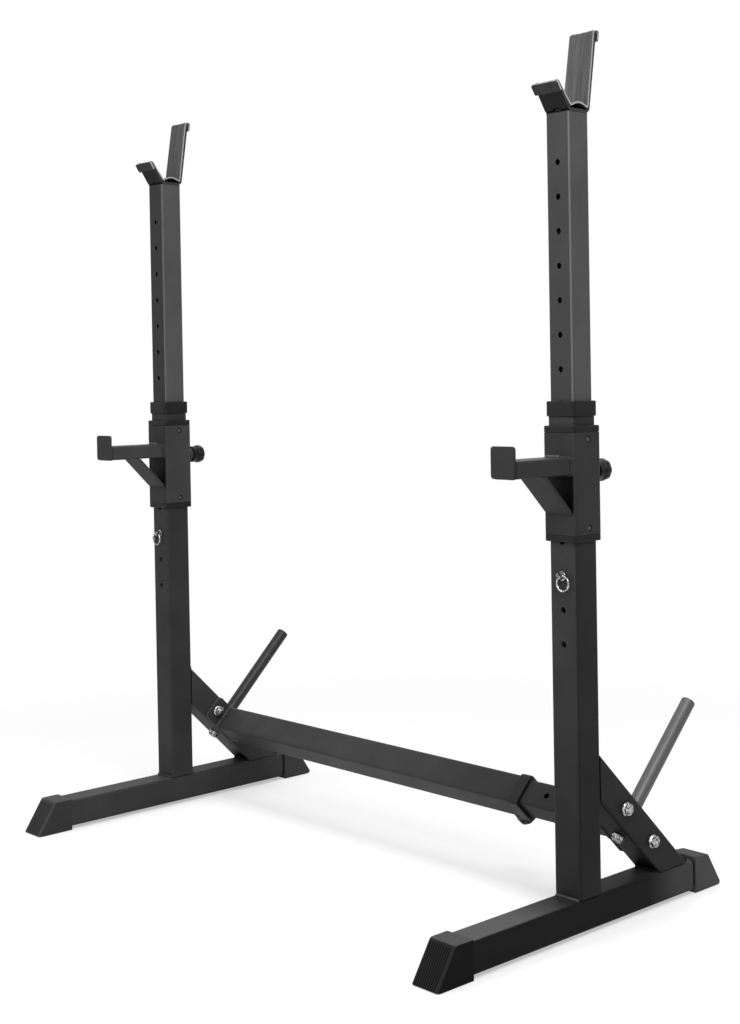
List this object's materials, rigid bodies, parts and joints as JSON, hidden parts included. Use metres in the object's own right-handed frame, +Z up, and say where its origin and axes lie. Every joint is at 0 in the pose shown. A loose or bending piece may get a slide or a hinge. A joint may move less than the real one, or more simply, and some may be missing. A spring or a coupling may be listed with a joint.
{
  "type": "squat rack",
  "caption": "Free-standing squat rack: telescopic uprights with lined bar yokes and sliding safety catches, on braced floor legs joined by a telescopic crossbar.",
  "frame": {"origin": "on the floor, at the middle of the bounding box's base, midway between the uprights", "axes": "+Z up; +X from the left upright to the right, seen from the lifter's side; the lifter stands at -Y"},
  "size_m": [1.099, 0.636, 1.3196],
  "materials": {
    "coated_steel": "fine-textured grey powder coat, satin",
    "hammertone_steel": "silver-grey hammered coat, satin",
    "grey_plastic": "moulded, fine texture, matt",
    "pale_plastic": "moulded, smooth, satin",
    "dark_plastic": "moulded, fluted grip, satin",
    "zinc_steel": "bright zinc plating",
    "chrome_steel": "polished chrome plating",
    "spring_steel": "drawn wire, oiled"
  },
  "bodies": {
    "left_frame": {"left_base_leg": "coated_steel", "left_front_foot_cap": "grey_plastic", "left_rear_foot_cap": "grey_plastic", "left_outer_upright": "coated_steel", "left_upright_collar": "grey_plastic", "left_diagonal_brace": "coated_steel", "left_crossbar_end_plate": "coated_steel", "left_upper_bolt": "zinc_steel", "left_lower_bolt": "zinc_steel", "left_peg_bolt": "zinc_steel", "left_weight_peg": "hammertone_steel", "crossbar_outer": "coated_steel", "crossbar_collar": "grey_plastic", "crossbar_plunger_boss": "coated_steel"},
    "right_frame": {"right_base_leg": "coated_steel", "right_front_foot_cap": "grey_plastic", "right_rear_foot_cap": "grey_plastic", "right_outer_upright": "coated_steel", "right_upright_collar": "grey_plastic", "right_diagonal_brace": "coated_steel", "right_crossbar_end_plate": "coated_steel", "right_upper_bolt": "zinc_steel", "right_lower_bolt": "zinc_steel", "right_peg_bolt": "zinc_steel", "right_weight_peg": "hammertone_steel", "crossbar_inner": "coated_steel"},
    "crossbar_plunger": {"crossbar_plunger_pin": "zinc_steel", "crossbar_plunger_knob": "dark_plastic", "crossbar_plunger_spring": "spring_steel"},
    "left_post": {"left_inner_upright": "coated_steel", "left_yoke": "coated_steel", "left_yoke_liner": "pale_plastic"},
    "left_catch": {"left_catch_sleeve": "coated_steel", "left_sleeve_bush_top": "grey_plastic", "left_sleeve_bush_bottom": "grey_plastic", "left_catch_arm": "coated_steel", "left_arm_end_plate": "coated_steel", "left_arm_gusset": "coated_steel", "left_plunger_boss": "coated_steel"},
    "left_plunger": {"left_plunger_pin": "zinc_steel", "left_plunger_knob": "dark_plastic", "left_plunger_spring": "spring_steel"},
    "left_lock_pin": {"left_lock_pin": "chrome_steel"},
    "left_ring": {"left_pull_ring": "chrome_steel"},
    "right_post": {"right_inner_upright": "coated_steel", "right_yoke": "coated_steel", "right_yoke_liner": "pale_plastic"},
    "right_catch": {"right_catch_sleeve": "coated_steel", "right_sleeve_bush_top": "grey_plastic", "right_sleeve_bush_bottom": "grey_plastic", "right_catch_arm": "coated_steel", "right_arm_end_plate": "coated_steel", "right_arm_gusset": "coated_steel", "right_plunger_boss": "coated_steel"},
    "right_plunger": {"right_plunger_pin": "zinc_steel", "right_plunger_knob": "dark_plastic", "right_plunger_spring": "spring_steel"},
    "right_lock_pin": {"right_lock_pin": "chrome_steel"},
    "right_ring": {"right_pull_ring": "chrome_steel"}
  },
  "joints": [
    {"name": "width_slide", "type": "slide", "parent": "left_frame", "child": "right_frame", "axis": [1, 0, 0], "range_m": [-0.1, 0.2]},
    {"name": "left_height_slide", "type": "slide", "parent": "left_frame", "child": "left_post", "axis": [0, 0, 1], "range_m": [-0.3, 0.3]},
    {"name": "left_catch_slide", "type": "slide", "parent": "left_frame", "child": "left_catch", "axis": [0, 0, 1], "range_m": [-0.036, 0]},
    {"name": "left_plunger_slide", "type": "slide", "parent": "left_catch", "child": "left_plunger", "axis": [0, -1, 0], "range_m": [0, 0.009], "deforming": ["left_plunger_spring"]},
    {"name": "left_lock_pin_slide", "type": "slide", "parent": "left_frame", "child": "left_lock_pin", "axis": [0, -1, 0], "range_m": [0, 0.06]},
    {"name": "left_ring_hinge", "type": "hinge", "parent": "left_lock_pin", "child": "left_ring", "pos_m": [-0.516, -0.0345, 0.5237], "axis": [-0.8988, 0, 0.4384], "range_deg": [-5, 160]},
    {"name": "right_height_slide", "type": "slide", "parent": "right_frame", "child": "right_post", "axis": [0, 0, 1], "range_m": [-0.3, 0.3]},
    {"name": "right_catch_slide", "type": "slide", "parent": "right_frame", "child": "right_catch", "axis": [0, 0, 1], "range_m": [-0.036, 0]},
    {"name": "right_plunger_slide", "type": "slide", "parent": "right_catch", "child": "right_plunger", "axis": [0, -1, 0], "range_m": [0, 0.009], "deforming": ["right_plunger_spring"]},
    {"name": "right_lock_pin_slide", "type": "slide", "parent": "right_frame", "child": "right_lock_pin", "axis": [0, -1, 0], "range_m": [0, 0.06]},
    {"name": "right_ring_hinge", "type": "hinge", "parent": "right_lock_pin", "child": "right_ring", "pos_m": [0.516, -0.0345, 0.5237], "axis": [-0.8988, 0, -0.4384], "range_deg": [-5, 160]},
    {"name": "crossbar_plunger_slide", "type": "slide", "parent": "left_frame", "child": "crossbar_plunger", "axis": [0, 0.7071, -0.7071], "range_m": [0, 0.012], "stiffness_N_per_m": 800, "springref_m": -0.01, "deforming": ["crossbar_plunger_spring"]}
  ]
}
